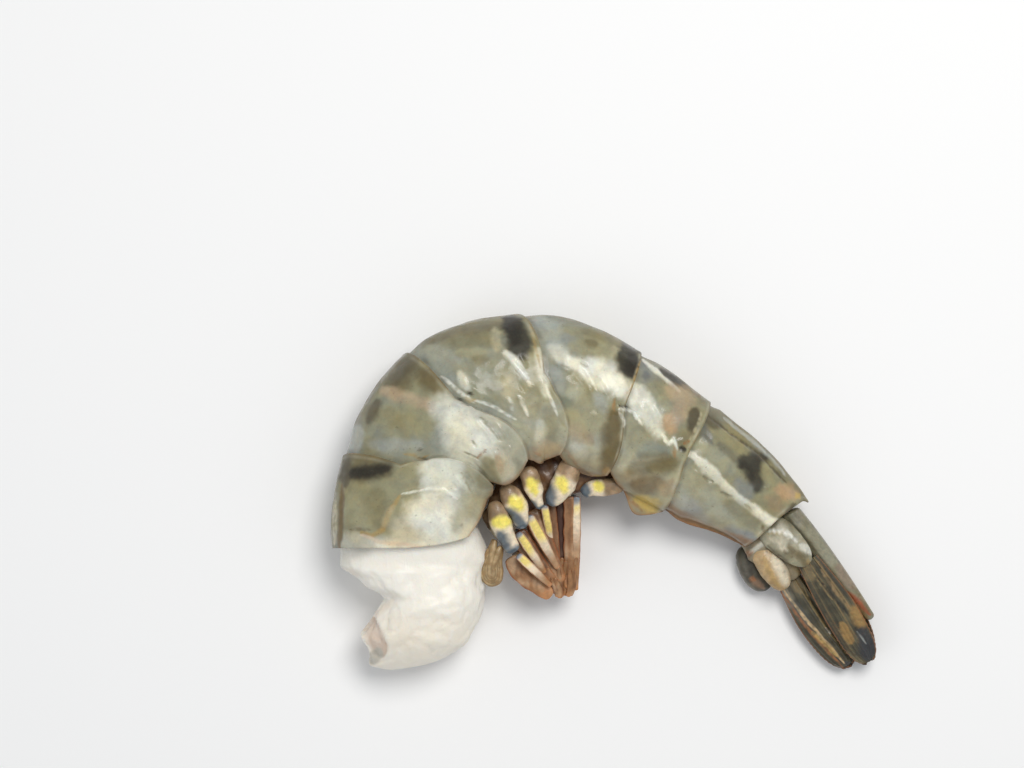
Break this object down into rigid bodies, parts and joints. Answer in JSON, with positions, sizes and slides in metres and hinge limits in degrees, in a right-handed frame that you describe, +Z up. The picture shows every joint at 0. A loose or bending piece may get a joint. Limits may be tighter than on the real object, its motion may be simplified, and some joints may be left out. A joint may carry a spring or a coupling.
{
  "type": "raw tiger prawn",
  "caption": "Curled raw tiger prawn tail in its banded shell, head removed, lying on its side with swimmerets and folded tail fan.",
  "frame": {"origin": "centre of the resting footprint's bounding box, on the surface that the prawn lies on", "axes": "+X from the torn front end towards the tail fan, +Y towards the back at the top of the curl, +Z up, out of the left flank"},
  "size_m": [0.0916, 0.0599, 0.0191],
  "materials": {
    "shell": "wet, milky, thin shell in grey-olive with dark bands",
    "meat": "wet, milky white raw flesh",
    "tail_fan": "wet, ribbed, dark olive with tan and blue-black ends",
    "tail_joint": "wet, grey-white to cream and tan",
    "swimmeret_base": "wet, cream with a yellow patch and a blue-grey end",
    "swimmeret_blade": "wet, translucent red-brown with a yellow and cream stripe",
    "filament": "wet, tan soft tissue"
  },
  "bodies": {
    "root": {"endopod_left": "tail_fan", "endopod_right": "tail_fan", "exopod_left": "tail_fan", "exopod_right": "tail_fan", "filament": "filament", "meat": "meat", "shell_1": "shell", "shell_2": "shell", "shell_3": "shell", "shell_4": "shell", "shell_5": "shell", "shell_6": "shell", "swimmeret_1_left_base": "swimmeret_base", "swimmeret_1_left_blade": "swimmeret_blade", "swimmeret_1_right_base": "swimmeret_base", "swimmeret_1_right_blade": "swimmeret_blade", "swimmeret_2_left_base": "swimmeret_base", "swimmeret_2_left_blade": "swimmeret_blade", "swimmeret_2_right_base": "swimmeret_base", "swimmeret_2_right_blade": "swimmeret_blade", "swimmeret_3_left_base": "swimmeret_base", "swimmeret_3_left_blade": "swimmeret_blade", "swimmeret_3_right_base": "swimmeret_base", "swimmeret_3_right_blade": "swimmeret_blade", "swimmeret_4_left_base": "swimmeret_base", "swimmeret_4_left_blade": "swimmeret_blade", "swimmeret_4_right_base": "swimmeret_base", "swimmeret_4_right_blade": "swimmeret_blade", "swimmeret_5_left_base": "swimmeret_base", "swimmeret_5_left_blade": "swimmeret_blade", "swimmeret_5_right_base": "swimmeret_base", "swimmeret_5_right_blade": "swimmeret_blade", "telson": "tail_fan", "uropod_base_left": "tail_joint", "uropod_base_right": "tail_joint", "uropod_knob_left": "tail_joint", "uropod_knob_right": "tail_joint"}
  },
  "joints": []
}
